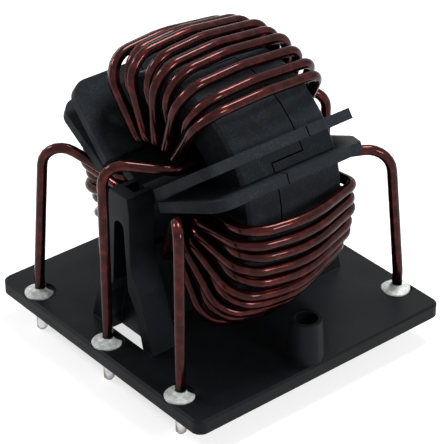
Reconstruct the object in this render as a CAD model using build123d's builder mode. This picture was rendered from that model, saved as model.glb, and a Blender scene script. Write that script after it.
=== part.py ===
from build123d import *
from math import asin, ceil, cos, degrees, radians, sin
import os

os.makedirs("parts", exist_ok=True)

# A three-winding choke on a ring core, standing on edge over its base plate.
# Millimetres. The origin is the middle of the plate's underside, +Z is up,
# and the ring's axis runs along Y, with the front towards -Y.

# Base plate
plate_thickness = 2.8
plate_corner_radius = 2.0
plate_edge_bevel = 0.4

# Terminals, two rows of three; the plate ends a margin beyond them
terminal_pitch = 21.2
terminal_stand_gap = 3.3
terminal_side_margin = 8.8
terminal_row_margin = 3.1
pin_length = 5.6
pin_tip_bevel = 0.5
tin_thickness = 0.05
tin_start = 0.3
pin_hole_clearance = 0.25

# Enamelled wire, drawn with flats round it and straight chords in its bends
wire_diameter = 2.0
wire_flat_count = 8
bend_kink_angle = 30.0

# Compound that seals each terminal in its recess
seal_diameter = 5.9
seal_height = 0.95
seal_recess_depth = 0.6
seal_edge_clearance = 0.1
seal_wire_clearance = 0.1
seal_rim_height = 0.1

# Moulded ring case
case_bore_radius = 12.6
case_ring_depth = 9.0
case_width = 21.8
case_wall = 1.2
case_rim_bevel = 0.6
case_bore_bevel = 1.0
seam_step = 3.6
seam_sectors = 3

# Core inside the case
core_clearance = 0.3
core_edge_bevel = 0.8

# Divider fins, in pairs between the windings
fin_pairs = 3
fin_pair_angle = 30.0
fin_spread = 7.25
fin_thickness = 2.0
fin_bore_reach = 3.6
fin_rim_reach = 3.4
fin_front_reach = 20.4
fin_front_reach_outer = 19.0
fin_rear_reach = 16.7
fin_rear_reach_outer = 13.8
fin_rear_shoulder = 5.5
fin_front_corner = 3.5
fin_rear_corner = 4.0
fin_plate_clearance = 1.8

# Stands, moulded in one with the plate; their heads rise above the ring's axis
stand_head_rise = 3.4
stand_head_taper = 3.0
stand_depth = 5.7
stand_winding_clearance = 0.5
stand_post_width = 6.0
stand_top_width = 5.0
stand_knee_height = 18.8
stand_flare_width = 11.4
stand_flare_height = 14.0
stand_foot_width = 18.0
stand_flare_round = 3.0

# Tapered pocket in each stand, open through the plate
pocket_depth = 4.6
pocket_top_width = 2.8
pocket_head_gap = 7.0
pocket_knee_width = 4.4
pocket_knee_height = 13.5
pocket_flare_width = 8.8
pocket_flare_height = 9.8
pocket_foot_width = 12.4

# Three-armed carrier in the bore of the ring
hub_radius = 2.6
arm_thickness = 2.0
arm_seat_clearance = 0.2
carrier_stand_clearance = 0.3
spigot_width = 2.6
spigot_length = 2.8
spigot_clearance = 0.1

# Tapered bosses on the plate
boss_edge_distance = 3.7
boss_offset_y = -1.5
boss_height = 8.1
boss_base_radius = 3.6
boss_top_radius = 3.0
boss_hole_radius = 2.1
boss_hole_depth = 6.5

# Windings: turns lie in one layer round the rim and in two in the bore. The stiff wire
# bows away from the case, and these are its gaps to the rim at the front corner, in the
# middle and at the rear corner, and then to the front face and to the rear face.
stand_offs = {
    "winding_top": (3.2, 4.2, 3.2, 4.0, 0.2),
    "winding_left": (2.4, 4.2, 2.2, 2.4, 0.2),
    "winding_right": (2.4, 5.2, 1.6, 2.7, 0.2),
}
bow_middle_y = -2.0
bow_bend_radius = 20.0
rim_front_bend = 5.4
rim_rear_bend = 4.0
bore_stand_off = 0.1
bore_fin_clearance = 0.342
bore_layer_step = 1.75
bore_layer_lift = 2.4
bore_bend_radius = 2.4
lead_rise = 10.9
lead_reach = 3.7
lead_exit_bend = 2.4
lead_foot_height = 4.0
lead_foot_bend = 12.0

# Where each terminal stands: its place along X and along Y
columns = {"left": -1, "middle": 0, "right": 1}
rows = {"front": -1, "rear": 1}

# What follows is worked out from the sizes above
wire_radius = wire_diameter / 2
pin_radius = wire_radius + tin_thickness
plate_top = plate_thickness
case_radius = case_bore_radius + case_ring_depth
fin_inner_radius = case_bore_radius - fin_bore_reach
fin_outer_radius = case_radius + fin_rim_reach
ring_axis_height = plate_top + fin_plate_clearance + fin_outer_radius
face_y = case_width / 2
bore_run_radius = case_bore_radius - bore_stand_off - wire_radius
bore_corner_y = face_y + bore_stand_off + wire_radius
winding_front_y = face_y + max(gaps[3] for gaps in stand_offs.values()) + wire_diameter
stand_back_y = winding_front_y + stand_winding_clearance
stand_front_y = stand_back_y + stand_depth
stand_height = ring_axis_height + stand_head_rise
stand_shoulder_height = stand_height - stand_head_taper
pocket_top_height = stand_height - pocket_head_gap
row_y = stand_front_y + terminal_stand_gap
terminal_row_distance = 2 * row_y
plate_length = 2 * (terminal_pitch + terminal_side_margin)
plate_width = 2 * (row_y + terminal_row_margin)
boss_offset_x = plate_length / 2 - boss_edge_distance


def at_ring(radius, degrees, y):
    """A point at a radius and an angle about the ring's axis, seen from the front."""
    angle = radians(degrees)
    return (radius * cos(angle), y, ring_axis_height + radius * sin(angle))


ring_plane = Plane(origin=(0, 0, ring_axis_height), x_dir=(1, 0, 0), z_dir=(0, -1, 0))


# Base plate with its two stands and two bosses, one moulding
def stand_outline():
    """Half of a stand seen from the front, right of its middle."""
    return [
        (0, plate_top / 2),
        (stand_foot_width / 2, plate_top / 2),
        (stand_foot_width / 2, plate_top),
        (stand_flare_width / 2, stand_flare_height),
        (stand_post_width / 2, stand_knee_height),
        (stand_post_width / 2, stand_shoulder_height),
        (stand_top_width / 2, stand_height),
        (0, stand_height),
    ]


def pocket_outline():
    """Half of a stand's pocket seen from the front, right of its middle."""
    return [
        (0, 0),
        (pocket_foot_width / 2, 0),
        (pocket_foot_width / 2, plate_top),
        (pocket_flare_width / 2, pocket_flare_height),
        (pocket_knee_width / 2, pocket_knee_height),
        (pocket_top_width / 2, pocket_top_height),
        (0, pocket_top_height),
    ]


stand_face = Plane(origin=(0, -stand_front_y, 0), x_dir=(1, 0, 0), z_dir=(0, -1, 0))

with BuildPart() as base_plate:
    with BuildSketch(Plane.XY):
        Rectangle(plate_length, plate_width)
    extrude(amount=plate_thickness)
    fillet(base_plate.edges().filter_by(Axis.Z), radius=plate_corner_radius)
    chamfer(base_plate.faces().sort_by(Axis.Z)[-1].edges(), length=plate_edge_bevel)

    with BuildSketch(stand_face) as stand_profile:
        with BuildLine():
            Polyline(*stand_outline(), close=True)
        make_face()
        mirror(about=Plane.YZ)
        flare_corners = stand_profile.vertices().filter_by(
            lambda v: plate_thickness < v.Y < stand_shoulder_height
        )
        fillet(flare_corners, radius=stand_flare_round)
    stands = extrude(amount=-stand_depth)
    mirror(stands, about=Plane.XZ)

    with BuildSketch(stand_face) as pocket_profile:
        with BuildLine():
            Polyline(*pocket_outline(), close=True)
        make_face()
        mirror(about=Plane.YZ)
        with Locations((0, pocket_top_height)):
            Circle(pocket_top_width / 2)
        pocket_corners = pocket_profile.vertices().filter_by(
            lambda v: plate_thickness < v.Y < pocket_top_height
        )
        fillet(pocket_corners, radius=stand_flare_round / 2)
    pockets = extrude(amount=-pocket_depth, mode=Mode.PRIVATE)
    add(pockets, mode=Mode.SUBTRACT)
    add(pockets.mirror(Plane.XZ), mode=Mode.SUBTRACT)

    # A square notch in the back of each stand holds the carrier's spigot
    notch_width = spigot_width + 2 * spigot_clearance
    notch_floor = ring_axis_height - spigot_width / 2
    notch_depth = spigot_length + carrier_stand_clearance
    for side in (-1, 1):
        with BuildSketch(Plane.XY.offset(notch_floor)):
            with Locations((0, side * (stand_back_y + notch_depth / 2))):
                Rectangle(notch_width, notch_depth)
        extrude(amount=stand_height, mode=Mode.SUBTRACT)

    # Recess and hole for each terminal
    with BuildSketch(Plane.XY.offset(plate_top - seal_recess_depth)):
        with GridLocations(terminal_pitch, terminal_row_distance, len(columns), len(rows)):
            Circle(seal_diameter / 2 + seal_edge_clearance)
    extrude(amount=seal_recess_depth, mode=Mode.SUBTRACT)
    with BuildSketch(Plane.XY):
        with GridLocations(terminal_pitch, terminal_row_distance, len(columns), len(rows)):
            Circle(pin_radius + pin_hole_clearance)
    extrude(amount=plate_thickness, mode=Mode.SUBTRACT)

    # Tapered bosses, one on each side, with blind screw holes
    boss_top = plate_top + boss_height
    for side in (-1, 1):
        boss_place = (side * boss_offset_x, side * boss_offset_y)
        with Locations((*boss_place, plate_top)):
            Cone(boss_base_radius, boss_top_radius, boss_height,
                 align=(Align.CENTER, Align.CENTER, Align.MIN))
        with BuildSketch(Plane.XY.offset(boss_top)):
            with Locations(boss_place):
                Circle(boss_hole_radius)
        extrude(amount=-boss_hole_depth, mode=Mode.SUBTRACT)

base_plate.part.label = "base_plate"
export_step(base_plate.part, "parts/base_plate.step")


# Ring case: a hollow ring with six fins, cut into two equal halves
def fin_outline():
    """One fin in its own plane: first the radius, then the distance along the axis."""
    return [
        (fin_inner_radius, fin_front_reach),
        (fin_outer_radius, fin_front_reach_outer),
        (fin_outer_radius, -fin_rear_reach_outer),
        (fin_outer_radius - fin_rear_shoulder, -fin_rear_reach),
        (fin_inner_radius, -fin_rear_reach),
    ]


def lower_fin_outline():
    """A fin behind a stand: it stops short of the stand's back."""
    reach = stand_back_y - carrier_stand_clearance
    return [
        (fin_inner_radius, reach),
        (fin_outer_radius, reach),
        (fin_outer_radius, -fin_rear_reach_outer),
        (fin_outer_radius - fin_rear_shoulder, -fin_rear_reach),
        (fin_inner_radius, -fin_rear_reach),
    ]


with BuildPart() as case:
    with BuildSketch(ring_plane):
        Circle(case_radius)
        Circle(case_bore_radius, mode=Mode.SUBTRACT)
    extrude(amount=case_width / 2, both=True)
    middle_radius = (case_radius + case_bore_radius) / 2
    round_edges = case.edges().filter_by(GeomType.CIRCLE)
    chamfer(round_edges.filter_by(lambda e: e.radius > middle_radius), length=case_rim_bevel)
    round_edges = case.edges().filter_by(GeomType.CIRCLE)
    chamfer(round_edges.filter_by(lambda e: e.radius < middle_radius), length=case_bore_bevel)

    for pair in range(fin_pairs):
        for side in (-1, 1):
            turn = fin_pair_angle + pair * 360 / fin_pairs + side * fin_spread
            direction = (cos(radians(turn)), 0, sin(radians(turn)))
            across = (sin(radians(turn)), 0, -cos(radians(turn)))
            fin_plane = Plane(origin=(0, 0, ring_axis_height), x_dir=direction, z_dir=across)
            behind_stand = fin_outer_radius * abs(cos(radians(turn))) < stand_foot_width / 2
            with BuildSketch(fin_plane) as fin_profile:
                with BuildLine():
                    Polyline(*(lower_fin_outline() if behind_stand else fin_outline()), close=True)
                make_face()
                corners = fin_profile.vertices()
                front_outer = corners.sort_by_distance((fin_outer_radius, fin_front_reach))[0]
                fillet(front_outer, radius=fin_front_corner)
                corners = fin_profile.vertices()
                shoulder = (fin_outer_radius - fin_rear_shoulder, -fin_rear_reach)
                fillet(corners.sort_by_distance(shoulder)[0], radius=fin_rear_corner)
            extrude(amount=fin_thickness / 2, both=True)

    # The room for the core
    with BuildSketch(ring_plane):
        Circle(case_radius - case_wall)
        Circle(case_bore_radius + case_wall, mode=Mode.SUBTRACT)
    extrude(amount=case_width / 2 - case_wall, both=True, mode=Mode.SUBTRACT)

# The seam steps to and fro every sixty degrees, so both halves are the same
cutter_radius = 2 * fin_outer_radius
sector = 180 / seam_sectors
with BuildPart() as front_side:
    with BuildSketch(ring_plane.offset(seam_step)):
        Circle(cutter_radius)
    extrude(amount=2 * fin_front_reach)
    with BuildSketch(ring_plane.offset(-seam_step)):
        for index in range(seam_sectors):
            start = fin_pair_angle + 2 * sector * index
            with BuildLine():
                first = (cutter_radius * cos(radians(start)), cutter_radius * sin(radians(start)))
                stop = start + sector
                last = (cutter_radius * cos(radians(stop)), cutter_radius * sin(radians(stop)))
                Polyline((0, 0), first, last, close=True)
            make_face()
    extrude(amount=2 * seam_step)

with BuildPart() as case_front:
    add(case.part)
    add(front_side.part, mode=Mode.INTERSECT)
case_front.part.label = "case_front"
export_step(case_front.part, "parts/case_front.step")

with BuildPart() as case_rear:
    add(case.part)
    add(front_side.part, mode=Mode.SUBTRACT)
case_rear.part.label = "case_rear"
export_step(case_rear.part, "parts/case_rear.step")


# Ring core, sealed in the case
with BuildPart() as ring_core:
    with BuildSketch(ring_plane):
        Circle(case_radius - case_wall - core_clearance)
        Circle(case_bore_radius + case_wall + core_clearance, mode=Mode.SUBTRACT)
    extrude(amount=case_width / 2 - case_wall - core_clearance, both=True)
    chamfer(ring_core.edges().filter_by(GeomType.CIRCLE), length=core_edge_bevel)
ring_core.part.label = "ring_core"
export_step(ring_core.part, "parts/ring_core.step")


# Carrier: a hub with three arms under the fin pairs, its spigots in the stands
carrier_half_length = stand_back_y - carrier_stand_clearance
with BuildPart() as ring_carrier:
    with BuildSketch(ring_plane):
        Circle(hub_radius)
        arm_length = fin_inner_radius - arm_seat_clearance
        for pair in range(fin_pairs):
            turn = fin_pair_angle + pair * 360 / fin_pairs
            middle = (arm_length / 2 * cos(radians(turn)), arm_length / 2 * sin(radians(turn)))
            with Locations(Location(middle, turn)):
                Rectangle(arm_length, arm_thickness)
    extrude(amount=carrier_half_length, both=True)
    with BuildSketch(ring_plane):
        Rectangle(spigot_width, spigot_width)
    extrude(amount=carrier_half_length + spigot_length, both=True)
ring_carrier.part.label = "ring_carrier"
export_step(ring_carrier.part, "parts/ring_carrier.step")


# Windings: each is one length of wire, from its front pin to its rear pin
def bore_angles(middle, front_shift, front_step, rear_step, turns):
    """Angles of the runs through the bore, from the run at the first fin to the one at the last.

    The two outer runs end in leads, and stand further off from the runs between them.
    """
    half_sector = 180 / fin_pairs
    off_fin = fin_thickness / 2 + bore_fin_clearance + wire_radius
    from_pair = fin_spread + degrees(asin(off_fin / bore_run_radius))
    front_lead = middle - half_sector + from_pair + front_shift
    rear_lead = middle + half_sector - from_pair
    pitch = (rear_lead - rear_step - front_lead - front_step) / (turns - 2)
    inside = [front_lead + front_step + index * pitch for index in range(turns - 1)]
    return [front_lead, *inside, rear_lead]


def bore_corner(angle, index, side):
    """Where the bore run of this index meets the ring's face; odd runs lie further in."""
    inner = index % 2
    radius = bore_run_radius - inner * bore_layer_step
    return at_ring(radius, angle, side * (bore_corner_y + inner * bore_layer_lift))


def rim_points(name, angle):
    """A run over the rim, from its rear corner to its front corner, bowed in the middle."""
    front_gap, middle_gap, rear_gap, front_face_gap, rear_face_gap = stand_offs[name]
    on_rim = case_radius + wire_radius
    on_face = face_y + wire_radius
    yield at_ring(on_rim + rear_gap, angle, on_face + rear_face_gap), rim_rear_bend
    yield at_ring(on_rim + middle_gap, angle, bow_middle_y), bow_bend_radius
    yield at_ring(on_rim + front_gap, angle, -on_face - front_face_gap), rim_front_bend


def lead(column, row, lean, rise, bend, reach):
    """One lead, from its pin up to where it turns into the bore.

    It leans this far inwards along X and Y on its way up to a top that rises this far
    above the ring's axis, and turns into the bore this far in front of the case's face.
    """
    pad_x = column * terminal_pitch
    pad_y = row * row_y
    lean_x, lean_y = lean
    top = (pad_x - column * lean_x, pad_y - row * lean_y, ring_axis_height + rise)
    corners = [((pad_x, pad_y, -pin_length / 2), 0)]
    if lean_x or lean_y:
        corners.append(((pad_x, pad_y, plate_top + lead_foot_height), lead_foot_bend))
    corners.append((top, bend))
    return corners, row * (bore_corner_y + reach)


def winding_route(name, bore_spread, rim_angles, front_lead, rear_lead):
    """Corner points of one winding, each with the radius of its bend."""
    angles = bore_angles(*bore_spread, len(rim_angles))
    front_corners, front_exit = front_lead
    rear_corners, rear_exit = rear_lead
    corners = list(front_corners)
    corners.append((at_ring(bore_run_radius, angles[0], front_exit), lead_exit_bend))
    for index, rim_angle in enumerate(rim_angles):
        corners.append((bore_corner(angles[index], index, 1), bore_bend_radius))
        corners.extend(rim_points(name, rim_angle))
        corners.append((bore_corner(angles[index + 1], index + 1, -1), bore_bend_radius))
    corners.append((at_ring(bore_run_radius, angles[-1], rear_exit), lead_exit_bend))
    corners.extend(reversed(rear_corners))
    return corners


# Each winding's angles: in the bore its middle, its front lead's shift away from the fin
# and the steps next to its front and rear leads, and then every turn's on the rim
windings = {
    "winding_top": (
        (90, 0, 12.5, 12.5),
        (57.1, 63.2, 71.1, 80.1, 86.7, 94.6, 103.7, 110, 118.7, 123.1),
        lead(0, -1, (0, 0), lead_rise, 3.6, lead_reach),
        lead(0, 1, (0, 0), 6.4, 3.5, 3.2),
    ),
    "winding_left": (
        (210, 5.5, 14, 11.5),
        (175.5, 181.4, 187.8, 194, 200, 206.2, 214, 223, 233, 241),
        lead(-1, -1, (1.3, 1.6), 7.7, 4.0, 5.5),
        lead(-1, 1, (0, 0), lead_rise, 2.5, lead_reach),
    ),
    "winding_right": (
        (330, 0, 12.5, 12.5),
        (303, 310, 318.2, 325.9, 333.2, 341.9, 348.3, 355.1, 360.9, 367),
        lead(1, -1, (0, 0), lead_rise, 2.5, lead_reach),
        lead(1, 1, (2.3, 1.2), 3.7, 5.0, 2.2),
    ),
}


def with_bends(corners):
    """The route with kinks in place of each corner, touching the arc of its bend."""
    points = [Vector(*point) for point, _ in corners]
    radii = [radius for _, radius in corners]
    route = [points[0]]
    for before, corner, after, radius in zip(points, points[1:], points[2:], radii[1:]):
        to_before = (before - corner).normalized()
        to_after = (after - corner).normalized()
        turn = 180 - to_before.get_angle(to_after)
        inward = (to_before + to_after).normalized()
        across = (to_after - to_before).normalized()
        centre = corner + inward * (radius / cos(radians(turn / 2)))
        kinks = ceil(turn / bend_kink_angle)
        step = turn / kinks
        reach = radius / cos(radians(step / 2))
        for kink in range(kinks):
            angle = radians((kink + 0.5) * step - turn / 2)
            route.append(centre + (across * sin(angle) - inward * cos(angle)) * reach)
    return route + points[-1:]


for name, (bore_spread, rim_angles, front_lead, rear_lead) in windings.items():
    corners = winding_route(name, bore_spread, rim_angles, front_lead, rear_lead)
    ends = (corners[0][0], corners[-1][0])
    with BuildPart() as winding:
        with BuildLine() as route:
            Polyline(*with_bends(corners))
        with BuildSketch(Plane(origin=ends[0], z_dir=(0, 0, 1))) as section:
            RegularPolygon(wire_radius, wire_flat_count)
        sweep(path=route.line, transition=Transition.RIGHT)
        wire_length = sum(edge.length for edge in route.edges())
        print(name, "length", round(wire_length, 1), "volume", round(winding.part.volume, 1),
              "section times length", round(section.sketch.area * wire_length, 1))
        # The tinned end of each lead, below the plate
        for pad_x, pad_y, _ in ends:
            with Locations((pad_x, pad_y, -pin_length)):
                Cylinder(pin_radius, pin_length - tin_start,
                         align=(Align.CENTER, Align.CENTER, Align.MIN))
        chamfer(winding.edges().group_by(Axis.Z)[0], length=pin_tip_bevel)
    winding.part.label = name
    export_step(winding.part, f"parts/{name}.step")


# Sealing compound round each lead where it enters the plate
for row_name, row in rows.items():
    for column_name, column in columns.items():
        centre = (column * terminal_pitch, row * row_y, plate_top)
        with BuildPart() as seal:
            with BuildSketch(Plane(origin=centre, x_dir=(1, 0, 0), z_dir=(0, -1, 0))):
                with BuildLine():
                    inner = wire_radius + seal_wire_clearance
                    outer = seal_diameter / 2
                    top = [(inner, seal_height), (outer, seal_rim_height)]
                    bottom = [(outer, -seal_recess_depth), (inner, -seal_recess_depth)]
                    Polyline(*top, *bottom, close=True)
                make_face()
            revolve(axis=Axis(centre, (0, 0, 1)))
        name = f"seal_{row_name}_{column_name}"
        seal.part.label = name
        export_step(seal.part, f"parts/{name}.step")
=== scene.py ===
import random
from math import acos, cos, pi, radians, sin, tan

import bmesh
import bpy
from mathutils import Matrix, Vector


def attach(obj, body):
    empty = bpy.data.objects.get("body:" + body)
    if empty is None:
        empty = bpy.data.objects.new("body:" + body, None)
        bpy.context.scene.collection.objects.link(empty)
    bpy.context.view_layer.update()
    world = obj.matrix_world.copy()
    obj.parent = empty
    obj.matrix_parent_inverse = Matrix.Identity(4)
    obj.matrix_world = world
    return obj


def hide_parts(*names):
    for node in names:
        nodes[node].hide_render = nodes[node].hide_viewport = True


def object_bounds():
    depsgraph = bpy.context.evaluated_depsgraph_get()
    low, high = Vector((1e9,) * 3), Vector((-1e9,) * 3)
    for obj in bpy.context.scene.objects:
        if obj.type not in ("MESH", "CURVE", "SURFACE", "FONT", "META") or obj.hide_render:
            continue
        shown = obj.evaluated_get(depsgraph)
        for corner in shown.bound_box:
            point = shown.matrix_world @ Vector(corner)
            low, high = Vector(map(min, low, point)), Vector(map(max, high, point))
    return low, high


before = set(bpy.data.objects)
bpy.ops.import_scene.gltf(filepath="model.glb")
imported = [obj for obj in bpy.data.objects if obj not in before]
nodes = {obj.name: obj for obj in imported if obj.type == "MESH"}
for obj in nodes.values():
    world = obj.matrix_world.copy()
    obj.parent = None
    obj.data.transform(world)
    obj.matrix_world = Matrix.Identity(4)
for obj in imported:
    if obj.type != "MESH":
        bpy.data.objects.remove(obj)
cad_low, cad_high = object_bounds()


# Ring core. The real one is a sintered or tape-wound ring, coated dark grey.
# It is sealed in the case, so it only shows if someone opens the part.
def new_material(name):
    """A material with its node tree and its Principled shader."""
    material = bpy.data.materials.new(name)
    material.use_nodes = True
    return material, material.node_tree, material.node_tree.nodes["Principled BSDF"]


def noise_node(tree, scale, **values):
    """A noise texture that reads the piece's own coordinates, in metres."""
    place = tree.nodes.new("ShaderNodeTexCoord")
    noise = tree.nodes.new("ShaderNodeTexNoise")
    tree.links.new(place.outputs["Object"], noise.inputs["Vector"])
    noise.inputs["Scale"].default_value = scale
    for name, value in values.items():
        noise.inputs[name].default_value = value
    return noise


def ramp_node(tree, source, stops):
    """The colour of a ramp over a value, with its stops given as (place, colour)."""
    ramp = tree.nodes.new("ShaderNodeValToRGB")
    elements = ramp.color_ramp.elements
    elements[0].position, elements[1].position = 0.0, 1.0
    while len(elements) < len(stops):
        elements.new(0.5)
    for element, (place, colour) in zip(elements, stops):
        element.position = place
        element.color = (*colour, 1.0)
    tree.links.new(source, ramp.inputs["Fac"])
    return ramp.outputs["Color"]


def paint(piece, material):
    """Gives a piece one material in place of what it had."""
    piece.data.materials.clear()
    piece.data.materials.append(material)


core_coating, tree, shader = new_material("core_coating")
specks = noise_node(tree, 2600.0, Detail=3.0)
tone = ramp_node(tree, specks.outputs["Fac"], [(0.35, (0.05, 0.05, 0.05)), (0.7, (0.11, 0.11, 0.11))])
tree.links.new(tone, shader.inputs["Base Color"])
shader.inputs["Roughness"].default_value = 0.7
paint(nodes["ring_core"], core_coating)


# Ring case. Two halves moulded in black glass-filled plastic, pushed together
# over the core along a stepped seam, with the divider fins moulded on.
mm = 0.001
ring_axis_height = 29.6 * mm
seam_step = 3.6 * mm
seam_half_width = 0.09 * mm
seam_sectors = 3.0
seam_groove = -3.0
grain_strength = 0.5
grain_depth = 0.09 * mm
cool_sheen = (0.78, 0.90, 1.0, 1.0)


def math_node(tree, operation, *values):
    """The output of a math node whose inputs are sockets or plain numbers."""
    node = tree.nodes.new("ShaderNodeMath")
    node.operation = operation
    for socket, value in zip(node.inputs, values):
        if isinstance(value, (int, float)):
            socket.default_value = value
        else:
            tree.links.new(value, socket)
    return node.outputs["Value"]


def map_node(tree, value, span, new_span=(0.0, 1.0)):
    """A value that runs over one span, turned so that it runs over the new one."""
    node = tree.nodes.new("ShaderNodeMapRange")
    for name, number in zip(("From Min", "From Max", "To Min", "To Max"), (*span, *new_span)):
        node.inputs[name].default_value = number
    tree.links.new(value, node.inputs["Value"])
    return node.outputs["Result"]


def mix_node(tree, factor, *colours):
    """A mix of two colours, each a socket or a plain colour."""
    node = tree.nodes.new("ShaderNodeMix")
    node.data_type = "RGBA"
    tree.links.new(factor, node.inputs["Factor"])
    for name, colour in zip("AB", colours):
        if isinstance(colour, tuple):
            node.inputs[name].default_value = (*colour, 1.0)
        else:
            tree.links.new(colour, node.inputs[name])
    return node.outputs["Result"]


def bump_node(tree, height, strength, distance):
    """A bump node over a height."""
    node = tree.nodes.new("ShaderNodeBump")
    node.inputs["Strength"].default_value = strength
    node.inputs["Distance"].default_value = distance
    tree.links.new(height, node.inputs["Height"])
    return node


def moulded_surface():
    """Node group: fine spark grain, slow unevenness and rubbed high spots of moulded plastic."""
    group = bpy.data.node_groups.new("moulded_surface", "ShaderNodeTree")
    for name, way, kind in (
            ("Color", "INPUT", "NodeSocketColor"), ("Rubbed Color", "INPUT", "NodeSocketColor"),
            ("Grain Scale", "INPUT", "NodeSocketFloat"), ("Color", "OUTPUT", "NodeSocketColor"),
            ("Roughness", "OUTPUT", "NodeSocketFloat"), ("Height", "OUTPUT", "NodeSocketFloat")):
        group.interface.new_socket(name, in_out=way, socket_type=kind)
    given = group.nodes.new("NodeGroupInput")
    result = group.nodes.new("NodeGroupOutput")
    join = group.links.new

    grain = noise_node(group, 1.0, Detail=2.0, Roughness=0.6)
    join(given.outputs["Grain Scale"], grain.inputs["Scale"])
    flow = noise_node(group, 90.0, Detail=4.0, Roughness=0.55)
    scuffs = noise_node(group, 420.0, Detail=6.0, Roughness=0.7)

    half_scuffs = math_node(group, "MULTIPLY", scuffs.outputs["Fac"], 0.5)
    high_spots = math_node(group, "MULTIPLY_ADD", grain.outputs["Fac"], 0.5, half_scuffs)
    rubbed = map_node(group, high_spots, (0.50, 0.72))
    shade = mix_node(group, rubbed, given.outputs["Color"], given.outputs["Rubbed Color"])
    join(shade, result.inputs["Color"])
    join(map_node(group, flow.outputs["Fac"], (0.3, 0.7), (0.42, 0.56)), result.inputs["Roughness"])
    height = math_node(group, "MULTIPLY_ADD", grain.outputs["Fac"], 0.7, flow.outputs["Fac"])
    join(height, result.inputs["Height"])
    return group


def seam_lines():
    """Node group: one along the stepped seam of the two halves, and zero elsewhere.

    The seam changes sides every sixty degrees, where it runs along the ring's axis.
    """
    group = bpy.data.node_groups.new("seam_lines", "ShaderNodeTree")
    group.interface.new_socket("Line", in_out="OUTPUT", socket_type="NodeSocketFloat")
    result = group.nodes.new("NodeGroupOutput")
    place = group.nodes.new("ShaderNodeTexCoord")
    parts = group.nodes.new("ShaderNodeSeparateXYZ")
    group.links.new(place.outputs["Object"], parts.inputs["Vector"])
    x, y, z = parts.outputs

    height = math_node(group, "SUBTRACT", z, ring_axis_height)
    angle = math_node(group, "ARCTAN2", height, x)
    wave = math_node(group, "COSINE", math_node(group, "MULTIPLY", angle, seam_sectors))
    around = math_node(group, "MULTIPLY_ADD", math_node(group, "SIGN", wave), seam_step, y)
    height_squared = math_node(group, "MULTIPLY", height, height)
    radius = math_node(group, "POWER", math_node(group, "MULTIPLY_ADD", x, x, height_squared), 0.5)
    off_step = math_node(group, "MULTIPLY", math_node(group, "ABSOLUTE", wave), radius)
    past_step = math_node(group, "SUBTRACT", math_node(group, "ABSOLUTE", y), seam_step)
    along = math_node(group, "MAXIMUM", math_node(group, "DIVIDE", off_step, seam_sectors), past_step)
    distance = math_node(group, "MINIMUM", math_node(group, "ABSOLUTE", around), along)
    line = map_node(group, distance, (2 * seam_half_width, seam_half_width))
    group.links.new(line, result.inputs["Line"])
    return group


def plastic(name, colour, rubbed, sheen, grain_scale, edge_radius, seams=None):
    """Black moulded plastic with the light catching on its small edge rounds."""
    material, tree, shader = new_material(name)
    surface = tree.nodes.new("ShaderNodeGroup")
    surface.node_tree = moulded
    surface.inputs["Color"].default_value = (*colour, 1.0)
    surface.inputs["Rubbed Color"].default_value = (*rubbed, 1.0)
    surface.inputs["Grain Scale"].default_value = grain_scale
    tone, gloss, height = surface.outputs
    if seams:
        line_node = tree.nodes.new("ShaderNodeGroup")
        line_node.node_tree = seams
        line = line_node.outputs["Line"]
        tone = mix_node(tree, line, tone, (0.0, 0.0, 0.0))
        gloss = math_node(tree, "MAXIMUM", line, gloss)
        height = math_node(tree, "MULTIPLY_ADD", line, seam_groove, height)
    edges = tree.nodes.new("ShaderNodeBevel")
    edges.samples = 6
    edges.inputs["Radius"].default_value = edge_radius
    bump = bump_node(tree, height, strength=grain_strength, distance=grain_depth)
    tree.links.new(edges.outputs["Normal"], bump.inputs["Normal"])
    tree.links.new(bump.outputs["Normal"], shader.inputs["Normal"])
    tree.links.new(tone, shader.inputs["Base Color"])
    tree.links.new(gloss, shader.inputs["Roughness"])
    shader.inputs["Specular IOR Level"].default_value = sheen
    shader.inputs["Specular Tint"].default_value = cool_sheen
    return material


moulded = moulded_surface()
case_look = dict(
    colour=(0.0215, 0.0245, 0.0290), rubbed=(0.0470, 0.0530, 0.0610),
    sheen=0.03, grain_scale=3000.0, edge_radius=0.3 * mm)
case_plastic = plastic("case_plastic", **case_look, seams=seam_lines())
for name in ("case_front", "case_rear"):
    paint(nodes[name], case_plastic)


# Carrier. One moulding of the same plastic in the ring's bore: a hub, three arms
# under the fins, and a square spigot at each end that sits in a stand's notch.
paint(nodes["ring_carrier"], plastic("carrier_plastic", **case_look))


# Windings. Each is one length of 2 mm enamelled copper wire, wound by hand round the
# case: ten stiff turns that bow off the rim and lie in two layers through the bore.
case_radius = 21.6 * mm
face_y = 10.9 * mm
half_sector = 60.0
wire_radius = 0.995 * mm
bore_run_radius = 11.5 * mm
bore_corner_y = 12.0 * mm
bore_layer_step = 1.75 * mm
bore_layer_lift = 2.4 * mm
bore_bend = 2.4 * mm
lead_from_fin = 19.0
bow_middle_y = -2.0 * mm
bow_bend = 20.0 * mm
rim_front_bend = 5.4 * mm
rim_rear_bend = 3.4 * mm
row_y = 26.4 * mm
terminal_pitch = 21.2 * mm
pin_length = 5.6 * mm
pin_tip = 0.5 * mm
pin_tip_share = 0.55
lead_foot_z = 6.8 * mm
lead_foot_bend = 12.0 * mm
straight_handle_share = 0.3
hand_wobble = random.Random(7)
wobble_lift = 0.10 * mm
wobble_sway = 0.25
enamel_tones = (
    (0.30, (0.016, 0.0030, 0.0030)), (0.50, (0.034, 0.0055, 0.0052)), (0.70, (0.085, 0.0140, 0.0115)))
enamel_sheen = (0.35, 0.16, 0.15, 1.0)
scorched = (0.004, 0.003, 0.003)
scorched_span = (4.1 * mm, 6.3 * mm)
scorched_least_enamel = 0.10
tin_tones = ((0.3, (0.55, 0.56, 0.57)), (0.7, (0.78, 0.78, 0.77)))
tin_top = 3.0 * mm


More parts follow.
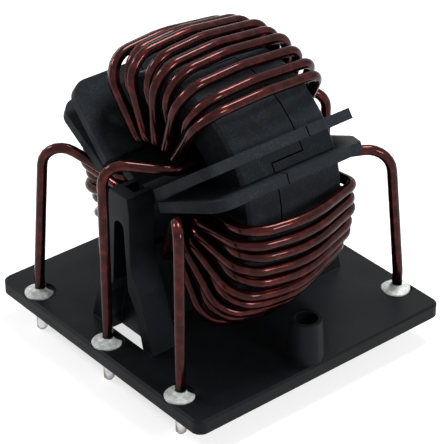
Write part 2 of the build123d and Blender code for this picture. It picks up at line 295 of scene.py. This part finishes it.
def at_ring(radius, degrees, y):
    """A point at a radius and an angle about the ring's axis, seen from the front."""
    turned = radians(degrees)
    return Vector((radius * cos(turned), y, ring_axis_height + radius * sin(turned)))


def bore_angles(turns, middle, front_shift, front_step, rear_step):
    """Angles of the runs through the bore; the two outer ones end in leads."""
    front_lead = middle - half_sector + lead_from_fin + front_shift
    rear_lead = middle + half_sector - lead_from_fin
    pitch = (rear_lead - rear_step - front_lead - front_step) / (turns - 2)
    inside = [front_lead + front_step + index * pitch for index in range(turns - 1)]
    return [front_lead, *inside, rear_lead]


def bore_corner(angle, index, side):
    """Where a run through the bore meets the ring's face; odd runs lie further in."""
    inner = index % 2
    radius = bore_run_radius - inner * bore_layer_step
    return at_ring(radius, angle, side * (bore_corner_y + inner * bore_layer_lift)), bore_bend


def rim_corners(rim_gaps, angle):
    """A run over the rim, from its rear corner to its front corner, bowed in the middle.

    The gaps, in millimetres, are those off the rim at the front, middle and rear of the
    run, and then those off the front and the rear face.
    """
    front_gap, middle_gap, rear_gap, front_face_gap, rear_face_gap = [gap * mm for gap in rim_gaps]
    lift = hand_wobble.uniform(-wobble_lift, 0.0)
    sway = hand_wobble.uniform(-wobble_sway, wobble_sway)
    on_rim = case_radius + wire_radius + lift
    on_face = face_y + wire_radius
    yield at_ring(on_rim + rear_gap, angle - sway, on_face + rear_face_gap), rim_rear_bend
    yield at_ring(on_rim + middle_gap, angle, bow_middle_y), bow_bend
    yield at_ring(on_rim + front_gap, angle + sway, -on_face - front_face_gap + lift), rim_front_bend


def lead(column, row, lean, rise, bend, reach):
    """A lead's corners from its pin up to its top, and how far out it turns into the bore.

    The lean towards the middle, the rise over the ring's axis, the bend at the top and
    the reach out of the bore are in millimetres. A lead that leans has one more bend,
    just above the plate.
    """
    pin = Vector((column * terminal_pitch, row * row_y, -pin_length))
    corners = [(pin, 0.0), (pin + Vector((0, 0, pin_tip)), 0.0)]
    if any(lean):
        corners.append((Vector((pin.x, pin.y, lead_foot_z)), lead_foot_bend))
    top = Vector((pin.x - column * lean[0] * mm, pin.y - row * lean[1] * mm, ring_axis_height + rise * mm))
    corners.append((top, bend * mm))
    return corners, row * (bore_corner_y + reach * mm)


def winding_corners(rim_gaps, rim_angles, bore_spread, front_lead, rear_lead):
    """Every corner of one winding with its bend radius, from front pin to rear pin."""
    angles = bore_angles(len(rim_angles), **bore_spread)
    front_corners, front_exit = front_lead
    rear_corners, rear_exit = rear_lead
    corners = [*front_corners, (at_ring(bore_run_radius, angles[0], front_exit), bore_bend)]
    for index, rim_angle in enumerate(rim_angles):
        corners.append(bore_corner(angles[index], index, 1))
        corners.extend(rim_corners(rim_gaps, rim_angle))
        corners.append(bore_corner(angles[index + 1], index + 1, -1))
    corners.append((at_ring(bore_run_radius, angles[-1], rear_exit), bore_bend))
    return corners + rear_corners[::-1]


def bend_knots(before, corner, after, bend):
    """The two curve knots of a round bend at a corner, each with its handles."""
    to_before = (before - corner).normalized()
    to_after = (after - corner).normalized()
    turn = pi - acos(max(-1.0, min(1.0, to_before.dot(to_after))))
    reach = bend * tan(turn / 2)
    handle = bend * 4 / 3 * tan(turn / 4)
    straight_handle = handle * straight_handle_share
    start = corner + to_before * reach
    end = corner + to_after * reach
    yield start + to_before * straight_handle, start, start - to_before * handle
    yield end - to_after * handle, end, end + to_after * straight_handle


def bent_wire(name, corners):
    """A curve with straight runs and true bends, filled out to the wire's thickness."""
    data = bpy.data.curves.new(name, "CURVE")
    data.dimensions = "3D"
    data.resolution_u = 7
    data.bevel_depth = wire_radius
    data.bevel_resolution = 5
    data.use_fill_caps = True
    knots = []
    for index, (corner, bend) in enumerate(corners):
        if bend:
            knots.extend(bend_knots(corners[index - 1][0], corner, corners[index + 1][0], bend))
        else:
            knots.append((corner, corner, corner))
    spline = data.splines.new("BEZIER")
    spline.bezier_points.add(len(knots) - 1)
    for knot, (left, middle, right) in zip(spline.bezier_points, knots):
        knot.handle_left_type = knot.handle_right_type = "FREE"
        knot.handle_left, knot.co, knot.handle_right = left, middle, right
    spline.bezier_points[0].radius = spline.bezier_points[-1].radius = pin_tip_share
    wire = bpy.data.objects.new(name, data)
    bpy.context.scene.collection.objects.link(wire)
    return wire


def enamelled_wire():
    """Copper under a dark red-brown enamel, scorched at its foot and tinned below that."""
    material, tree, shader = new_material("enamelled_wire")
    join = tree.links.new
    streaks = noise_node(tree, 520.0, Detail=5.0, Roughness=0.65)
    enamel = ramp_node(tree, streaks.outputs["Fac"], enamel_tones)
    solder = noise_node(tree, 900.0, Detail=3.0)
    tin = ramp_node(tree, solder.outputs["Fac"], tin_tones)

    place = tree.nodes.new("ShaderNodeTexCoord")
    parts = tree.nodes.new("ShaderNodeSeparateXYZ")
    join(place.outputs["Object"], parts.inputs["Vector"])
    height = parts.outputs["Z"]
    tinned = math_node(tree, "LESS_THAN", height, tin_top)
    unburnt = map_node(tree, height, scorched_span, (scorched_least_enamel, 1.0))
    foot = mix_node(tree, unburnt, scorched, enamel)
    join(mix_node(tree, tinned, foot, tin), shader.inputs["Base Color"])
    for socket, on_wire, on_tin in (
            ("Metallic", 0.8, 1.0), ("Roughness", 0.25, 0.3), ("Coat Weight", 0.7, 0.0)):
        join(map_node(tree, tinned, (0.0, 1.0), (on_wire, on_tin)), shader.inputs[socket])
    shader.inputs["Specular IOR Level"].default_value = 0.15
    shader.inputs["Specular Tint"].default_value = enamel_sheen
    shader.inputs["Coat Roughness"].default_value = 0.07
    shader.inputs["Coat IOR"].default_value = 1.25

    ripple = noise_node(tree, 520.0, Detail=2.0)
    bump = bump_node(tree, ripple.outputs["Fac"], strength=0.25, distance=0.08 * mm)
    join(bump.outputs["Normal"], shader.inputs["Normal"])
    return material


# The lengths of a winding's layout are in millimetres, and its angles in degrees.
lead_rise = 10.9
lead_reach = 3.7
windings = {
    "winding_top": dict(
        rim_gaps=(3.2, 4.2, 2.7, 4.0, 0.2),
        rim_angles=(57.1, 63.2, 71.1, 80.1, 86.7, 94.6, 103.7, 110, 118.7, 123.1),
        bore_spread=dict(middle=90, front_shift=0, front_step=12.5, rear_step=12.5),
        front_lead=lead(0, -1, lean=(0, 0), rise=lead_rise, bend=3.6, reach=lead_reach),
        rear_lead=lead(0, 1, lean=(0, 0), rise=6.4, bend=3.5, reach=3.2)),
    "winding_left": dict(
        rim_gaps=(2.4, 4.2, 2.2, 2.4, 0.2),
        rim_angles=(175.5, 181.4, 187.8, 194, 200, 206.2, 214, 223, 233, 241),
        bore_spread=dict(middle=210, front_shift=5.5, front_step=14, rear_step=11.5),
        front_lead=lead(-1, -1, lean=(1.3, 1.6), rise=7.7, bend=4.0, reach=5.5),
        rear_lead=lead(-1, 1, lean=(0, 0), rise=lead_rise, bend=2.5, reach=lead_reach)),
    "winding_right": dict(
        rim_gaps=(2.4, 5.2, 0.9, 2.7, 0.1),
        rim_angles=(303, 310, 318.2, 325.9, 333.2, 341.9, 348.3, 355.1, 360.9, 367),
        bore_spread=dict(middle=330, front_shift=0, front_step=12.5, rear_step=12.5),
        front_lead=lead(1, -1, lean=(0, 0), rise=lead_rise, bend=2.5, reach=lead_reach),
        rear_lead=lead(1, 1, lean=(2.3, 1.2), rise=3.7, bend=5.0, reach=2.2)),
}
wire_finish = enamelled_wire()
for name, layout in windings.items():
    wire = bent_wire(name + "_wire", winding_corners(**layout))
    paint(wire, wire_finish)
    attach(wire, "root")
    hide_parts(name)


# Base plate. One moulding with the two stands and the two tapered bosses, in
# black plastic like the case's, a little glossier and finer in its grain.
base_look = dict(
    colour=(0.0034, 0.0038, 0.0050), rubbed=(0.0088, 0.0098, 0.0125),
    sheen=0.12, grain_scale=4200.0, edge_radius=0.25 * mm)
paint(nodes["base_plate"], plastic("base_plastic", **base_look))


# Sealing compound. A drop of pale resin set round each lead in its recess, where it
# climbs the wire a little. In the front row it never filled the side towards the ring.
plate_top = 2.8 * mm
seal_radius = 2.8 * mm
seal_floor = -0.6 * mm
seal_shift = Vector((-0.14, -0.16)) * mm
seal_steps = 64
seal_profile = (
    (1.00, seal_floor), (1.00, -0.05 * mm), (0.99, 0.08 * mm), (0.96, 0.16 * mm), (0.86, 0.27 * mm),
    (0.70, 0.40 * mm), (0.55, 0.54 * mm), (0.45, 0.70 * mm), (0.39, 0.90 * mm), (0.35, 1.12 * mm),
    (0.35, seal_floor))
bite_place = Vector((0.30, 2.60)) * mm
bite_radius = 1.4 * mm
bite_limit = 0.36
wave_counts = (2, 3, 5)
wave_sizes = (0.004, 0.012)
resin_tones = ((0.35, (0.46, 0.51, 0.49)), (0.65, (0.80, 0.83, 0.80)))


def bitten(share, angle):
    """How far out the resin reaches at this angle, cut back where it never filled the recess."""
    along = Vector((cos(angle), sin(angle))).dot(bite_place)
    inside = bite_radius ** 2 - (bite_place.length_squared - along ** 2)
    if along < 0 or inside < 0:
        return share
    return min(share, max((along - inside ** 0.5) / seal_radius, bite_limit))


def seal_drop(name, centre, seed, has_bite):
    """A lens of resin turned round the lead, its outline a little uneven.

    It is closed by a floor in the recess and by a wall hidden in the wire.
    """
    spread = random.Random(seed)
    waves = [(count, spread.uniform(0, 2 * pi), spread.uniform(*wave_sizes)) for count in wave_counts]
    mesh = bmesh.new()
    rings = []
    for share, height in seal_profile:
        ring = []
        for step in range(seal_steps):
            angle = 2 * pi * step / seal_steps
            uneven = sum(size * sin(count * angle + phase) for count, phase, size in waves)
            reach = bitten(share, angle) if has_bite else share
            outwards = Vector((cos(angle), sin(angle))) * seal_radius * reach * (1 + uneven * share)
            place = centre + seal_shift * share + outwards
            ring.append(mesh.verts.new((*place, plate_top + height)))
        rings.append(ring)
    for lower, upper in zip(rings, rings[1:] + rings[:1]):
        for step in range(seal_steps):
            following = (step + 1) % seal_steps
            mesh.faces.new((lower[step], lower[following], upper[following], upper[step]))
    data = bpy.data.meshes.new(name)
    mesh.to_mesh(data)
    mesh.free()
    data.shade_smooth()
    drop = bpy.data.objects.new(name, data)
    bpy.context.scene.collection.objects.link(drop)
    return drop


def sealing_resin():
    """Off-white resin with a soft gloss and a faint mottle."""
    material, tree, shader = new_material("sealing_resin")
    mottle = noise_node(tree, 1300.0, Detail=4.0)
    tone = ramp_node(tree, mottle.outputs["Fac"], resin_tones)
    tree.links.new(tone, shader.inputs["Base Color"])
    shader.inputs["Roughness"].default_value = 0.42
    shader.inputs["Coat Weight"].default_value = 0.12
    shader.inputs["Coat Roughness"].default_value = 0.12
    bump = bump_node(tree, mottle.outputs["Fac"], strength=0.5, distance=0.1 * mm)
    tree.links.new(bump.outputs["Normal"], shader.inputs["Normal"])
    return material


resin_finish = sealing_resin()
for row_name, row in (("front", -1), ("rear", 1)):
    for column_name, column in (("left", -1), ("middle", 0), ("right", 1)):
        node = f"seal_{row_name}_{column_name}"
        centre = Vector((column * terminal_pitch, row * row_y))
        drop = seal_drop(node + "_drop", centre, seed=11 + 3 * column + 5 * row, has_bite=row == -1)
        paint(drop, resin_finish)
        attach(drop, "root")
        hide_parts(node)


# Floor and backdrop: a plain white sheet that the pins stand on, bright to the
# camera and to reflections, and plain under the lamps so that it takes the shadow.
white = (1.0, 1.0, 1.0, 1.0)
floor_size = 6.0
floor_glow = 0.70
world_levels = (0.22, 1.0)


def plain_view(tree):
    """One where the camera, a reflection or a see-through piece looks at the background."""
    path = tree.nodes.new("ShaderNodeLightPath")
    value = path.outputs["Is Camera Ray"]
    for ray in ("Is Glossy Ray", "Is Transmission Ray"):
        value = math_node(tree, "MAXIMUM", value, path.outputs[ray])
    return value


bpy.ops.mesh.primitive_plane_add(size=floor_size, location=(0, 0, cad_low.z))
floor = bpy.context.object
floor.name = "floor"
floor_paper, tree, shader = new_material("floor_paper")
fibres = noise_node(tree, 35.0, Detail=2.0)
paper = ramp_node(tree, fibres.outputs["Fac"], [(0.3, (0.60, 0.60, 0.60)), (0.7, (0.62, 0.62, 0.62))])
tree.links.new(paper, shader.inputs["Base Color"])
shader.inputs["Roughness"].default_value = 0.9
glow = math_node(tree, "MULTIPLY", plain_view(tree), floor_glow)
tree.links.new(glow, shader.inputs["Emission Strength"])
shader.inputs["Emission Color"].default_value = white
paint(floor, floor_paper)

world = bpy.data.worlds.new("studio")
bpy.context.scene.world = world
world.use_nodes = True
tree = world.node_tree
sky = tree.nodes["Background"]
tree.links.new(map_node(tree, plain_view(tree), (0.0, 1.0), world_levels), sky.inputs["Strength"])
sky.inputs["Color"].default_value = white


# Lamps: the main soft box hangs above and a little behind the part, with a weaker
# one beyond its right side and another on the left that lifts the front leads.
lamp_aim = Vector((0, 0, 0.022))


def aim_at(thing, direction):
    """Turns a lamp or a camera so that it looks along a direction, upright."""
    thing.rotation_mode = "QUATERNION"
    thing.rotation_quaternion = direction.to_track_quat("-Z", "Y")


for name, place, size, power in (
        ("left_box", (-0.40, -0.24, 0.34), 0.12, 1.3),
        ("right_box", (0.50, 0.08, 0.28), 0.14, 1.3),
        ("top_box", (-0.02, 0.20, 0.58), 0.20, 2.7)):
    light = bpy.data.lights.new(name, "AREA")
    light.shape = "DISK"
    light.size = size
    light.energy = power
    lamp = bpy.data.objects.new(name, light)
    lamp.location = place
    aim_at(lamp, lamp_aim - lamp.location)
    bpy.context.scene.collection.objects.link(lamp)


# Camera: where the photograph was taken from, with its long lens; its direction
# was worked out from the plate's corners in the photograph.
camera = bpy.data.objects.new("camera", bpy.data.cameras.new("camera"))
bpy.context.scene.collection.objects.link(camera)
camera.data.sensor_width = 36.0
camera.data.lens = 166.861
camera.data.clip_start = 0.01
camera.data.clip_end = 20.0
camera.location = (0.249745, -0.207681, 0.221113)
aim_at(camera, Vector((-0.65088, 0.54329, -0.53028)))
bpy.context.scene.camera = camera
bpy.context.scene.view_settings.view_transform = "Standard"
